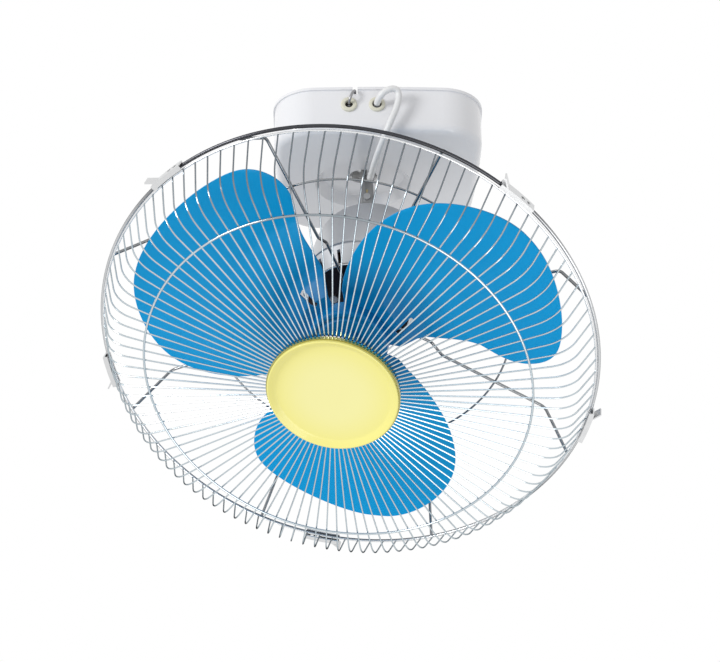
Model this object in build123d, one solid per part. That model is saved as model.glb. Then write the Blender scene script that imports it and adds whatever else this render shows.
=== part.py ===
from build123d import *
import math
import os

# Ceiling orbit fan: a base housing, a hanging arm, a two-axis swivel, and a tilted motor head
# with a wire guard and one three-blade moulding.
#
# Row frame: millimetres, +Z up, origin on the ceiling face above the hanging arm.
# The near side of the fan, which the head faces, is -Y.
# Head frame: origin on the fan axis in the plane of the rear rim, +Z towards the motor's rear.
# place_head() carries the head frame into the row frame.

# Base housing
HOUSING_WIDTH = 218.0
HOUSING_DEPTH = 226.0
HOUSING_HEIGHT = 50.0
HOUSING_SHIFT = 11.0
HOUSING_WALL = 2.5
HOUSING_BOW = 4.0
HOUSING_CORNER = 44.0
HOUSING_EDGE = 9.0
LIP_REACH = 1.6
LIP_HEIGHT = 3.0
DISH_RADIUS = 52.0
DISH_FLOOR_RADIUS = 44.0
DISH_DEPTH = 10.5
DISH_SHIFT = -4.0
DISH_WALL = 3.0
ARM_HOLE_RADIUS = 15.0

# Bracket in the housing
BRACKET_PLATE = 2.5
BRACKET_LENGTH = 190.0
BRACKET_WIDTH = 64.0
BRACKET_WING_WIDTH = 36.0
BRACKET_TAB_DROP = 18.0
BRACKET_TAB_GAP = 0.3
BOLT_SPACING_X = 40.0
BOLT_SPACING_Y = 140.0
BOLT_HOLE_RADIUS = 3.5
EAR_THICKNESS = 3.0
EAR_RADIUS = 9.0
HOUSING_SCREW_DROP = 11.0
HOUSING_SCREW_HEAD = 4.0
HOUSING_SCREW_RADIUS = 2.0

# Hanger pin and arm
HANGER_PIN_DROP = 24.0
HANGER_PIN_RADIUS = 5.0
PIN_CLEARANCE = 0.05
EYE_RADIUS = 8.0
EYE_THICKNESS = 11.8
EYE_CLEARANCE = 0.4
PIN_HEAD_RADIUS = 8.0
PIN_HEAD_HEIGHT = 4.0
PIN_TAIL = 7.0
NUT_RADIUS = 8.5
NUT_HEIGHT = 5.0
ARM_TOP_DEPTH = 9.6
ARM_FOOT_WIDTH = 16.0
ARM_FOOT_DEPTH = 13.0
ARM_NECK_LENGTH = 10.0
ARM_CORNER = 2.5
ARM_GROOVE_WIDTH = 4.0
ARM_GROOVE_DEPTH = 1.4
ARM_GROOVE_MARGIN = 7.0
ARM_BOLT_RADIUS = 2.0
ARM_BOLT_HEAD_RADIUS = 3.6
ARM_BOLT_HEAD_HEIGHT = 2.4

# Swivel
PIVOT_DROP = 94.0
TILT_FORWARD_ANGLE = 34.06
TILT_SIDE_ANGLE = 9.28
SWIVEL_PIN_RADIUS = 2.5
SWIVEL_PIN_DEPTH = 2.9
CHEEK_GAP = 12.4
CHEEK_THICKNESS = 3.6
CHEEK_RADIUS = 4.8
SWIVEL_BLOCK = 11.6
SWIVEL_BLOCK_EDGE = 1.0
YOKE_CROWN_GAP = 12.0
YOKE_CROWN_HEIGHT = 4.0
YOKE_STEM_RADIUS = 4.5
YOKE_STEM_LENGTH = 20.0

# Motor, drawn in the head frame
MOTOR_FRONT_RADIUS = 46.0
MOTOR_FRONT_LENGTH = 22.0
MOTOR_SHELL_LENGTH = 66.0
MOTOR_REAR_LENGTH = 16.0
MOTOR_RADIUS = 60.0
MOTOR_WALL = 2.5
MOTOR_EDGE = 7.0
VENT_COUNT = 16
VENT_WIDTH = 3.2
VENT_LENGTH = 12.0
SHELL_STEP = 1.0
GEAR_CASE_RADIUS = 27.0
GEAR_CASE_HEIGHT = 36.0
GEAR_CASE_EDGE = 4.0
GEAR_CASE_REACH = 8.0
PIVOT_OFFSET = 18.5
COLLAR_RADIUS = 12.5
COLLAR_FOOT_RADIUS = 14.0
COLLAR_LENGTH = 14.0
COLLAR_GAP = 13.0
STATOR_BORE = 30.6
STATOR_HEIGHT = 24.0
STATOR_RISE = 20.0
WINDING_INNER = 33.0
WINDING_OUTER = 46.0
WINDING_HEIGHT = 9.0
ROTOR_AIR_GAP = 0.6
ROTOR_OVERHANG = 2.0
SHAFT_RADIUS = 4.0
SHAFT_TAIL = 14.0
SHAFT_NOSE = 9.0
SHAFT_HOLE_RADIUS = 6.0
BEARING_RADIUS = 11.0
BEARING_WIDTH = 7.0
SEAT_WALL = 2.5
TIE_SCREW_COUNT = 4
TIE_SCREW_HEAD = 3.6
TIE_SCREW_HEIGHT = 2.6

# Guard
RIM_RADIUS = 225.0
RIM_WIRE = 3.6
FRONT_RIM_STEP = 2.5
RING_WIRE = 3.2
FRONT_RING_RADIUS = 170.7
REAR_RING_RADIUS = 146.5
FRONT_WIRE = 2.0
FRONT_WIRE_COUNT = 108
FRONT_DEPTH = 44.5
FRONT_SHOULDER_INSET = 22.0
FRONT_SHOULDER_BEND = 26.0
FRONT_CENTRE_DEPTH = 53.0
FRONT_WIRE_START = 46.0
INNER_RING_OUTER = 57.0
INNER_RING_INNER = 44.0
INNER_RING_THICKNESS = 1.5
ARM_WIRE = 4.2
REAR_ARM_COUNT = 8
REAR_ARM_PHASE_ANGLE = 22.5
REAR_DEPTH = 65.0
REAR_SHOULDER_INSET = 17.0
REAR_SHOULDER_BEND = 9.0
REAR_STEP_OUTER = 90.0
REAR_STEP_INNER = 77.0
REAR_STEP_BEND = 6.0
REAR_CENTRE_DEPTH = 78.0
REAR_ARM_START = 34.0
GUARD_PLATE_RADIUS = 50.0
GUARD_PLATE_HOLE = 15.0
GUARD_PLATE_THICKNESS = 1.9
GUARD_SCREW_CIRCLE = 25.0
GUARD_SCREW_COUNT = 4
GUARD_SCREW_HEAD = 3.8
GUARD_SCREW_HEIGHT = 2.4
GUARD_SCREW_RADIUS = 2.0
GUARD_SCREW_BITE = 2.0
BADGE_RADIUS = 58.9
BADGE_WALL = 1.2
BADGE_EDGE = 3.2
BADGE_GAP = 0.1
BADGE_DOME = 3.4
BADGE_BOSS_REACH = 5.5
CLIP_ANGLES = (-131.0, -51.0, 12.5, 96.0, 170.0)
CLIP_SPAN_ANGLE = 8.6
CLIP_WALL = 1.3
CLIP_CLEARANCE = 0.15
CLIP_LIP = 3.2
CLIP_HOLE_RADIUS = 1.8
CLIP_TAB_LENGTH = 10.0
CLIP_TAB_WIDTH = 9.5
CLIP_TAB_ANGLE = 38.0
CLIP_HOLE_ANGLE = 1.6

# Blades
BLADE_COUNT = 3
BLADE_PHASE_ANGLE = -40.0
BLADE_TIP_GAP = 22.0
BLADE_ROOT_RADIUS = 52.0
BLADE_THICKNESS = 2.2
BLADE_MID_DEPTH = 43.0
BLADE_RISE_PER_RADIAN = 26.0
BLADE_CONE_ANGLE = 14.04
BLADE_BEND_RADIUS = 80.0
BLADE_ROOT_DEPTH = 31.0
BLADE_STRIP_COUNT = 7
BLADE_STRIP_MARGIN_ANGLE = 4.0
BLADE_SLOT_LENGTH = 17.5
BLADE_SLOT_WIDTH = 5.6
BLADE_SLOT_START = 39.5
BLADE_SLOT_SIDE = 20.5
HUB_RADIUS = 37.0
HUB_FRONT = 17.0
HUB_REAR = 34.5
HUB_RIB_COUNT = 6
HUB_RIB_THICKNESS = 1.8
HUB_RIB_DEPTH = 11.0
HUB_WALL = 2.4
HUB_EDGE = 3.0
HUB_BOSS_RADIUS = 9.0
HUB_BOSS_LENGTH = 40.0
SPINNER_RADIUS = 18.0
SPINNER_HEIGHT = 10.0
SPINNER_EDGE = 4.0
DRIVE_PIN_RADIUS = 1.5
DRIVE_PIN_LENGTH = 16.0

# Blade outline: shares of the span from root to tip, with the angle from the blade's middle
TRAILING_EDGE = ((0.0, -57.5), (0.12, -53.0), (0.25, -48.5), (0.5, -40.0), (0.75, -29.0), (0.92, -15.0))
TIP_EDGE = ((0.99, -4.0), (0.99, 8.0), (0.96, 20.0), (0.93, 33.0))
LEADING_EDGE = ((0.88, 41.5), (0.73, 47.0), (0.58, 47.5), (0.4, 44.0), (0.2, 44.0), (0.0, 45.5))

# Blade twist: shares of the span, with how much of its full rise the blade has there
BLADE_TWIST = ((-0.025, 0.0), (0.06, 0.5), (0.11, 0.65), (0.45, 1.0))

# Grommets, cords and what they meet
GROMMET_DROP = 20.0
WIRE_GROMMET_X = -18.6
CORD_GROMMET_X = 9.6
GROMMET_RADIUS = 8.2
GROMMET_FLANGE = 2.5
GROMMET_LEDGE = 2.4
GROMMET_EDGE = 1.0
CORD_DIAMETER = 6.6
CORD_END_X = 3.0
CORD_END_Y = -8.8
CORD_CLAMP_WIDTH = 6.0
CORD_CLAMP_DEPTH = 5.6
CORD_CLAMP_DROP = 33.0
SAFETY_WIRE_DIAMETER = 2.8
SAFETY_LINE_X = -12.5
SAFETY_RISE = 0.8
FERRULE_RADIUS = 2.2
FERRULE_LENGTH = 12.0
FERRULE_Y = -90.0
NOTCH_WIDTH = 5.0
NOTCH_DEPTH = 7.5

# Cord routes: shares of the loop's size, measured from the grommet's face
CORD_LOOP = 22.4
CORD_LOOP_ROUTE = (
    (0.06, -0.4, 0.04), (0.42, -0.63, 0.31), (0.82, -0.58, 0.42), (1.0, -0.45, 0.18),
    (0.87, -0.36, -0.45), (0.55, -0.27, -1.2), (0.24, 0.27, -1.79),
)
SAFETY_LOOP = 6.0
SAFETY_LOOP_ROUTE = ((0.1, -0.83, 0.25), (0.57, -1.0, 1.5))

# Cord route to the clamp: shares of the way on X and Y, and of the loop's size below the last bend
CORD_RUN_ROUTE = ((0.58, 0.29, 1.03), (0.83, 0.57, 0.94), (0.98, 0.82, 0.67), (1.0, 0.95, 0.29))
CORD_LAST_RUN = 9.0

# Wiring pieces in the housing
TERMINAL_LENGTH = 32.0
TERMINAL_WIDTH = 18.0
TERMINAL_HEIGHT = 14.0
TERMINAL_WELL_RADIUS = 2.6
TERMINAL_WELL_COUNT = 3
TERMINAL_Y = 48.0
CAPACITOR_LENGTH = 38.0
CAPACITOR_WIDTH = 18.0
CAPACITOR_HEIGHT = 26.0
CAPACITOR_EDGE = 2.0
CAPACITOR_Y = -45.0

# Values worked out from the sizes above
FRONT_RIM_RADIUS = RIM_RADIUS - FRONT_RIM_STEP
FRONT_SHOULDER_RADIUS = RIM_RADIUS - FRONT_SHOULDER_INSET
REAR_SHOULDER_RADIUS = RIM_RADIUS - REAR_SHOULDER_INSET
BLADE_TIP_RADIUS = RIM_RADIUS - BLADE_TIP_GAP
CHEEK_REACH = CHEEK_GAP / 2 + CHEEK_THICKNESS
EAR_INNER = EYE_THICKNESS / 2 + EYE_CLEARANCE
EAR_OUTER = EAR_INNER + EAR_THICKNESS
ARM_FOOT_DROP = PIVOT_DROP - YOKE_CROWN_GAP - YOKE_CROWN_HEIGHT
ARM_BOLT_DROP = ARM_FOOT_DROP - YOKE_STEM_LENGTH / 2
GUARD_PLATE_FRONT = REAR_CENTRE_DEPTH + ARM_WIRE / 2
MOTOR_FRONT = GUARD_PLATE_FRONT + GUARD_PLATE_THICKNESS
SHELL_FOOT = MOTOR_FRONT + MOTOR_FRONT_LENGTH
SHELL_TOP = SHELL_FOOT + MOTOR_SHELL_LENGTH
MOTOR_REAR = SHELL_TOP + MOTOR_REAR_LENGTH
GEAR_CASE_TOP = MOTOR_REAR + GEAR_CASE_HEIGHT
PIVOT_HEIGHT = GEAR_CASE_TOP + COLLAR_LENGTH + COLLAR_GAP
STATOR_RADIUS = MOTOR_RADIUS - MOTOR_WALL
STATOR_FOOT = SHELL_FOOT + STATOR_RISE
STATOR_TOP = STATOR_FOOT + STATOR_HEIGHT
RIM_FRONT = -RIM_WIRE / 2
FRONT_RIM_FRONT = RIM_FRONT - RING_WIRE
FACE_SLOPE = (FRONT_CENTRE_DEPTH - FRONT_DEPTH) / (FRONT_SHOULDER_RADIUS - FRONT_WIRE_START)
BADGE_BACK = -FRONT_CENTRE_DEPTH - FRONT_WIRE / 2
GROMMET_NECK = GROMMET_RADIUS - GROMMET_LEDGE
MIN_CORNER = (Align.MIN, Align.MIN, Align.MIN)


def place_head(shape):
    """Carries a shape from the head frame into the row frame."""
    pivot = Location((0, 0, -PIVOT_DROP))
    tilt = Location((0, 0, 0), (-TILT_FORWARD_ANGLE, TILT_SIDE_ANGLE, 0))
    axis_shift = Location((PIVOT_OFFSET, 0, -PIVOT_HEIGHT))
    return pivot * tilt * axis_shift * shape


def place_swivel(shape):
    """Carries a shape drawn about the pivot into the row frame, tilted about X only."""
    return Location((0, 0, -PIVOT_DROP), (-TILT_FORWARD_ANGLE, 0, 0)) * shape


def as_one(shapes):
    """Separate solids kept together as one piece of the list."""
    solids = []
    for shape in shapes:
        solids.extend(shape.solids())
    return Compound(children=solids)


def around(shape, count, phase=0.0):
    """Copies of a shape spaced evenly about Z."""
    return [Rot(0, 0, phase + 360 * i / count) * shape for i in range(count)]


def tube(radius, bore, foot, top):
    """A round tube about Z from foot to top."""
    height = top - foot
    return Pos(0, 0, foot + height / 2) * (Cylinder(radius, height) - Cylinder(bore, height))


def rod(radius, foot, top):
    """A round bar about Z from foot to top."""
    return Pos(0, 0, (foot + top) / 2) * Cylinder(radius, top - foot)


def along_x(shape):
    """Turns a shape drawn about Z so that its axis lies along +X."""
    return Rot(0, 90, 0) * shape


def along_y(shape):
    """Turns a shape drawn about Z so that its axis lies along -Y."""
    return Rot(90, 0, 0) * shape


def bent_bar(points, radii, thickness):
    """A square bar that follows points in the XZ plane, with a true arc at each bend."""
    path = FilletPolyline(*points, radius=radii)
    outline = offset(path, amount=thickness / 2, side=Side.BOTH)
    face = make_face(Plane.XZ * outline)
    return extrude(face, amount=thickness / 2, both=True)


def screw(head_radius, head_height, shank_radius, shank_length):
    """A screw about Z with its head above Z=0 and its shank below."""
    return rod(head_radius, 0, head_height) + rod(shank_radius, -shank_length, 0)


# Base housing and its bracket

def housing_side(side):
    """X of the housing's outer face on the left (-1) or right (+1)."""
    return HOUSING_SHIFT + side * HOUSING_WIDTH / 2


def bow_radius(side_length):
    """Radius of a housing side that bows out in its middle."""
    half = side_length / 2 - HOUSING_BOW
    return (half ** 2 + HOUSING_BOW ** 2) / (2 * HOUSING_BOW)


def near_wall(x):
    """Y of the housing's bowed near face at one X."""
    radius = bow_radius(HOUSING_WIDTH)
    return radius - HOUSING_DEPTH / 2 - math.sqrt(radius ** 2 - (x - HOUSING_SHIFT) ** 2)


def housing_outline(inset=0.0):
    """Rounded square with bowed sides, where four large circles overlap, moved in by the inset."""
    face = Rectangle(2 * HOUSING_WIDTH, 2 * HOUSING_DEPTH)
    for turn in (0, 90, 180, 270):
        across, along = HOUSING_WIDTH, HOUSING_DEPTH
        if turn in (90, 270):
            across, along = along, across
        radius = bow_radius(along)
        face &= Rot(0, 0, turn) * Pos(radius - across / 2, 0) * Circle(radius - inset)
    return fillet(face.vertices(), HOUSING_CORNER - inset)


def grommet_seat(x):
    """Y of the plane that a grommet's flange rests on, against the bowed near face."""
    off_centre = max(abs(x - HOUSING_SHIFT) - GROMMET_RADIUS, 0)
    return near_wall(HOUSING_SHIFT + off_centre)


def at_near_wall(x, shape):
    """Carries a shape drawn about Z to the near wall, its +Z pointing out of the housing."""
    return Pos(x, grommet_seat(x), -GROMMET_DROP) * along_y(shape)


def base_housing():
    shell = extrude(housing_outline(), amount=-HOUSING_HEIGHT)
    shell = fillet(shell.edges().group_by(Axis.Z)[0], HOUSING_EDGE)
    cavity = extrude(housing_outline(HOUSING_WALL), amount=HOUSING_WALL - HOUSING_HEIGHT)
    cavity = fillet(cavity.edges().group_by(Axis.Z)[0], HOUSING_EDGE - HOUSING_WALL)
    lip = extrude(housing_outline(-LIP_REACH), amount=-LIP_HEIGHT)
    shell = Pos(HOUSING_SHIFT, 0, 0) * (shell + lip - cavity)
    floor = DISH_DEPTH - HOUSING_HEIGHT
    cup = rod(DISH_RADIUS + DISH_WALL, HOUSING_WALL / 2 - HOUSING_HEIGHT, floor + DISH_WALL)
    recess = Pos(0, 0, floor - DISH_DEPTH / 2) * Cone(DISH_RADIUS, DISH_FLOOR_RADIUS, DISH_DEPTH)
    hole = rod(ARM_HOLE_RADIUS, floor - DISH_WALL, floor + 2 * DISH_WALL)
    shell += Pos(DISH_SHIFT, 0, 0) * cup
    shell -= Pos(DISH_SHIFT, 0, 0) * recess
    shell -= Pos(DISH_SHIFT, 0, 0) * hole
    for x in (WIRE_GROMMET_X, CORD_GROMMET_X):
        shell -= at_near_wall(x, rod(GROMMET_NECK, -2 * HOUSING_WALL, HOUSING_WALL))
    notch = Box(NOTCH_WIDTH, 4 * HOUSING_WALL, NOTCH_DEPTH)
    shell -= Pos(SAFETY_LINE_X, near_wall(SAFETY_LINE_X), -NOTCH_DEPTH / 2) * notch
    for side in (-1, 1):
        screw_hole = along_x(Cylinder(HOUSING_SCREW_RADIUS, 4 * HOUSING_WALL))
        shell -= Pos(housing_side(side), 0, -HOUSING_SCREW_DROP) * screw_hole
    return shell


def housing_screws():
    grip = HOUSING_WALL + BRACKET_TAB_GAP + 2 * BRACKET_PLATE
    one = screw(HOUSING_SCREW_HEAD, HOUSING_SCREW_RADIUS, HOUSING_SCREW_RADIUS, grip)
    left = Pos(housing_side(-1), 0, -HOUSING_SCREW_DROP) * Rot(0, -90, 0) * one
    right = Pos(housing_side(1), 0, -HOUSING_SCREW_DROP) * Rot(0, 90, 0) * one
    return as_one([left, right])


def mounting_bracket():
    inset = HOUSING_WALL + BRACKET_TAB_GAP
    left = housing_side(-1) + inset
    right = housing_side(1) - inset
    plate = Box(BRACKET_WIDTH, BRACKET_LENGTH, BRACKET_PLATE)
    wings = Pos((left + right) / 2, 0, 0) * Box(right - left, BRACKET_WING_WIDTH, BRACKET_PLATE)
    body = Pos(0, 0, -BRACKET_PLATE / 2) * (plate + wings)
    tab = Box(BRACKET_PLATE, BRACKET_WING_WIDTH, BRACKET_TAB_DROP)
    body += Pos(left + BRACKET_PLATE / 2, 0, -BRACKET_TAB_DROP / 2) * tab
    body += Pos(right - BRACKET_PLATE / 2, 0, -BRACKET_TAB_DROP / 2) * tab
    ear = Pos(0, 0, HANGER_PIN_DROP / 2) * Box(EAR_THICKNESS, 2 * EAR_RADIUS, HANGER_PIN_DROP)
    ear += along_x(Cylinder(EAR_RADIUS, EAR_THICKNESS))
    for side in (-1, 1):
        body += Pos(side * (EAR_INNER + EAR_THICKNESS / 2), 0, -HANGER_PIN_DROP) * ear
        tab_x = left if side < 0 else right
        screw_hole = along_x(Cylinder(HOUSING_SCREW_RADIUS, 4 * BRACKET_PLATE))
        body -= Pos(tab_x, 0, -HOUSING_SCREW_DROP) * screw_hole
    bore = along_x(Cylinder(HANGER_PIN_RADIUS + PIN_CLEARANCE, 4 * EAR_OUTER))
    body -= Pos(0, 0, -HANGER_PIN_DROP) * bore
    for x in (-BOLT_SPACING_X / 2, BOLT_SPACING_X / 2):
        for y in (-BOLT_SPACING_Y / 2, BOLT_SPACING_Y / 2):
            body -= Pos(x, y, -BRACKET_PLATE / 2) * Cylinder(BOLT_HOLE_RADIUS, 2 * BRACKET_PLATE)
    return body


def grommet(x, bore_radius):
    flange = tube(GROMMET_RADIUS, bore_radius, 0, GROMMET_FLANGE)
    flange = fillet(flange.edges().filter_by(GeomType.CIRCLE).group_by(Axis.Z)[-1][-1:], GROMMET_EDGE)
    neck = tube(GROMMET_NECK, bore_radius, -HOUSING_WALL, 0)
    return at_near_wall(x, flange + neck)


def terminal_block():
    block = Box(TERMINAL_LENGTH, TERMINAL_WIDTH, TERMINAL_HEIGHT)
    pitch = TERMINAL_LENGTH / TERMINAL_WELL_COUNT
    for i in range(TERMINAL_WELL_COUNT):
        x = (i - (TERMINAL_WELL_COUNT - 1) / 2) * pitch
        well = Cylinder(TERMINAL_WELL_RADIUS, TERMINAL_HEIGHT)
        block -= Pos(x, 0, -TERMINAL_HEIGHT / 2) * well
    return Pos(0, TERMINAL_Y, -BRACKET_PLATE - TERMINAL_HEIGHT / 2) * block


def capacitor():
    case = Box(CAPACITOR_LENGTH, CAPACITOR_WIDTH, CAPACITOR_HEIGHT)
    case = fillet(case.edges().filter_by(Axis.Z), CAPACITOR_EDGE)
    return Pos(0, CAPACITOR_Y, -BRACKET_PLATE - CAPACITOR_HEIGHT / 2) * case


def cord_clamp():
    height = CORD_CLAMP_DROP - BRACKET_PLATE
    block = Box(CORD_CLAMP_WIDTH, CORD_CLAMP_DEPTH, height)
    y = CORD_END_Y - CORD_CLAMP_DEPTH / 2
    return Pos(CORD_END_X, y, -BRACKET_PLATE - height / 2) * block


# Hanging arm and the pin that carries it

def hanger_pin():
    head = rod(PIN_HEAD_RADIUS, -EAR_OUTER - PIN_HEAD_HEIGHT, -EAR_OUTER)
    shank = rod(HANGER_PIN_RADIUS, -EAR_OUTER, EAR_OUTER + PIN_TAIL)
    return Pos(0, 0, -HANGER_PIN_DROP) * along_x(head + shank)


def hanger_nut():
    hexagon = extrude(RegularPolygon(NUT_RADIUS, 6), amount=NUT_HEIGHT)
    nut = hexagon - rod(HANGER_PIN_RADIUS + PIN_CLEARANCE, 0, NUT_HEIGHT)
    return Pos(EAR_OUTER, 0, -HANGER_PIN_DROP) * along_x(nut)


def hanger_arm():
    neck_drop = HANGER_PIN_DROP + ARM_NECK_LENGTH
    top = Pos(0, 0, -neck_drop) * RectangleRounded(EYE_THICKNESS, ARM_TOP_DEPTH, ARM_CORNER)
    foot = Pos(0, 0, -ARM_FOOT_DROP) * RectangleRounded(ARM_FOOT_WIDTH, ARM_FOOT_DEPTH, ARM_CORNER)
    body = loft([top, foot])
    neck = Box(EYE_THICKNESS, ARM_TOP_DEPTH, ARM_NECK_LENGTH)
    body += Pos(0, 0, -HANGER_PIN_DROP - ARM_NECK_LENGTH / 2) * neck
    body += Pos(0, 0, -HANGER_PIN_DROP) * along_x(Cylinder(EYE_RADIUS, EYE_THICKNESS))
    bore = along_x(Cylinder(HANGER_PIN_RADIUS + PIN_CLEARANCE, 2 * EYE_THICKNESS))
    body -= Pos(0, 0, -HANGER_PIN_DROP) * bore
    stem_top = YOKE_STEM_LENGTH - ARM_FOOT_DROP
    body -= rod(YOKE_STEM_RADIUS, -ARM_FOOT_DROP, stem_top)
    groove_top = -neck_drop - ARM_GROOVE_MARGIN
    groove_length = ARM_FOOT_DROP - neck_drop - 2 * ARM_GROOVE_MARGIN
    groove = Box(ARM_GROOVE_WIDTH, 2 * ARM_GROOVE_DEPTH, groove_length)
    flare = (ARM_FOOT_DEPTH - ARM_TOP_DEPTH) / 2
    lean = math.degrees(math.atan2(flare, ARM_FOOT_DROP - neck_drop))
    depth = (ARM_FOOT_DEPTH + ARM_TOP_DEPTH) / 4
    for side in (-1, 1):
        turned = Rot(side * lean, 0, 0) * groove
        body -= Pos(0, side * depth, groove_top - groove_length / 2) * turned
    body -= Pos(0, 0, -ARM_BOLT_DROP) * along_y(Cylinder(ARM_BOLT_RADIUS, 2 * ARM_FOOT_DEPTH))
    return body


def arm_bolt():
    reach = ARM_FOOT_DEPTH / 2
    shank = rod(ARM_BOLT_RADIUS, -reach, reach)
    head = rod(ARM_BOLT_HEAD_RADIUS, reach, reach + ARM_BOLT_HEAD_HEIGHT)
    return Pos(0, 0, -ARM_BOLT_DROP) * along_y(shank + head)


# Swivel: a yoke on the arm, a block with crossed pins, and a fork on the head

def cheeks(foot, top):
    """Two cheeks across X with round ends about the pivot, from foot to top on Z."""
    bore = along_x(Cylinder(SWIVEL_PIN_RADIUS + PIN_CLEARANCE, 4 * CHEEK_REACH))
    pair = []
    for side in (-1, 1):
        cheek = Pos(0, 0, (foot + top) / 2) * Box(CHEEK_THICKNESS, 2 * CHEEK_RADIUS, top - foot)
        cheek += along_x(Cylinder(CHEEK_RADIUS, CHEEK_THICKNESS))
        pair.append(Pos(side * (CHEEK_GAP + CHEEK_THICKNESS) / 2, 0, 0) * cheek - bore)
    return pair


def swivel_yoke():
    left, right = cheeks(0, YOKE_CROWN_GAP)
    crown = Box(2 * CHEEK_REACH, 2 * CHEEK_RADIUS, YOKE_CROWN_HEIGHT)
    crown = Pos(0, 0, YOKE_CROWN_GAP + YOKE_CROWN_HEIGHT / 2) * crown
    crown_top = YOKE_CROWN_GAP + YOKE_CROWN_HEIGHT
    stem = rod(YOKE_STEM_RADIUS, crown_top, crown_top + YOKE_STEM_LENGTH)
    body = Pos(0, 0, -PIVOT_DROP) * (left + right + crown + stem)
    return body - Pos(0, 0, -ARM_BOLT_DROP) * along_y(Cylinder(ARM_BOLT_RADIUS, 2 * ARM_FOOT_DEPTH))


def swivel_block():
    block = Box(SWIVEL_BLOCK, SWIVEL_BLOCK, SWIVEL_BLOCK)
    block = chamfer(block.edges().filter_by(Axis.Z), SWIVEL_BLOCK_EDGE)
    block -= along_x(Cylinder(SWIVEL_PIN_RADIUS, SWIVEL_BLOCK))
    for side in (-1, 1):
        block -= short_pin(side)
    return place_swivel(block)


def short_pin(side):
    """A pin across Y from inside the block to the outside of the head fork's cheek."""
    return Rot(-90 * side, 0, 0) * rod(SWIVEL_PIN_RADIUS, SWIVEL_PIN_DEPTH, CHEEK_REACH)


def swivel_long_pin():
    return place_swivel(along_x(Cylinder(SWIVEL_PIN_RADIUS, 2 * CHEEK_REACH)))


def swivel_short_pins():
    return place_swivel(as_one([short_pin(-1), short_pin(1)]))


def head_fork():
    """Fork on the head, its cheeks across Y, standing on a round collar."""
    front, back = cheeks(-COLLAR_GAP, 0)
    pair = Rot(0, 0, 90) * (front + back)
    collar = Cone(COLLAR_FOOT_RADIUS, COLLAR_RADIUS, COLLAR_LENGTH)
    collar = Pos(0, 0, -COLLAR_GAP - COLLAR_LENGTH / 2) * collar
    return place_head(Pos(-PIVOT_OFFSET, 0, PIVOT_HEIGHT) * (pair + collar))


# Motor and gear case

def gear_case():
    near = Pos(-PIVOT_OFFSET, 0) * Circle(GEAR_CASE_RADIUS)
    far = Pos(GEAR_CASE_REACH, 0) * Circle(GEAR_CASE_RADIUS)
    body = extrude(make_hull((near + far).edges()), amount=GEAR_CASE_HEIGHT)
    body = fillet(body.edges().group_by(Axis.Z)[-1], GEAR_CASE_EDGE)
    body -= rod(SHAFT_HOLE_RADIUS, 0, SHAFT_TAIL + ROTOR_OVERHANG)
    return place_head(Pos(0, 0, MOTOR_REAR) * body)


def motor_rear_cover():
    outer = rod(MOTOR_RADIUS, SHELL_TOP, MOTOR_REAR)
    outer = fillet(outer.edges().group_by(Axis.Z)[-1], MOTOR_EDGE)
    inner = rod(STATOR_RADIUS, SHELL_TOP, MOTOR_REAR - MOTOR_WALL)
    inner = fillet(inner.edges().group_by(Axis.Z)[-1], MOTOR_EDGE - MOTOR_WALL)
    body = outer - inner - rod(SHAFT_HOLE_RADIUS, SHELL_TOP, MOTOR_REAR)
    seat_top = MOTOR_REAR - MOTOR_WALL
    body += tube(BEARING_RADIUS + SEAT_WALL, BEARING_RADIUS, seat_top - BEARING_WIDTH, seat_top)
    return place_head(body)


def motor_shell():
    return place_head(tube(MOTOR_RADIUS + SHELL_STEP, STATOR_RADIUS, SHELL_FOOT, SHELL_TOP))


def motor_front_cover():
    nose = MOTOR_FRONT_LENGTH - MOTOR_WALL
    inner_front = MOTOR_FRONT_RADIUS - MOTOR_WALL
    outside = [(SHAFT_HOLE_RADIUS, 0), (MOTOR_FRONT_RADIUS, 0), (MOTOR_RADIUS, nose)]
    joint = [(MOTOR_RADIUS, MOTOR_FRONT_LENGTH), (STATOR_RADIUS, MOTOR_FRONT_LENGTH)]
    inside = [(STATOR_RADIUS, nose), (inner_front, MOTOR_WALL), (SHAFT_HOLE_RADIUS, MOTOR_WALL)]
    outline = Polyline(*outside, *joint, *inside, close=True)
    body = revolve(make_face(Plane.XZ * outline), Axis.Z)
    body += tube(BEARING_RADIUS + SEAT_WALL, BEARING_RADIUS, MOTOR_WALL, MOTOR_WALL + BEARING_WIDTH)
    middle = (MOTOR_FRONT_RADIUS + MOTOR_RADIUS) / 2
    vent = Pos(middle, 0, nose / 2) * Box(MOTOR_RADIUS - inner_front, VENT_WIDTH, VENT_LENGTH)
    hole = Pos(GUARD_SCREW_CIRCLE, 0, 0) * rod(GUARD_SCREW_RADIUS, 0, GUARD_SCREW_BITE)
    for one in around(vent, VENT_COUNT) + around(hole, GUARD_SCREW_COUNT, REAR_ARM_PHASE_ANGLE):
        body -= one
    return place_head(Pos(0, 0, MOTOR_FRONT) * body)


def motor_tie_screws():
    circle = MOTOR_RADIUS - MOTOR_EDGE - TIE_SCREW_HEAD
    one = Pos(circle, 0, MOTOR_REAR) * rod(TIE_SCREW_HEAD, 0, TIE_SCREW_HEIGHT)
    return place_head(as_one(around(one, TIE_SCREW_COUNT, 180 / TIE_SCREW_COUNT)))


def stator_core():
    return place_head(tube(STATOR_RADIUS, STATOR_BORE, STATOR_FOOT, STATOR_TOP))


def stator_winding():
    rear = tube(WINDING_OUTER, WINDING_INNER, STATOR_TOP, STATOR_TOP + WINDING_HEIGHT)
    front = tube(WINDING_OUTER, WINDING_INNER, STATOR_FOOT - WINDING_HEIGHT, STATOR_FOOT)
    return place_head(as_one([rear, front]))


def bearing(foot):
    return place_head(tube(BEARING_RADIUS, SHAFT_RADIUS + PIN_CLEARANCE, foot, foot + BEARING_WIDTH))


# Rotor: everything that spins with the blades

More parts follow.
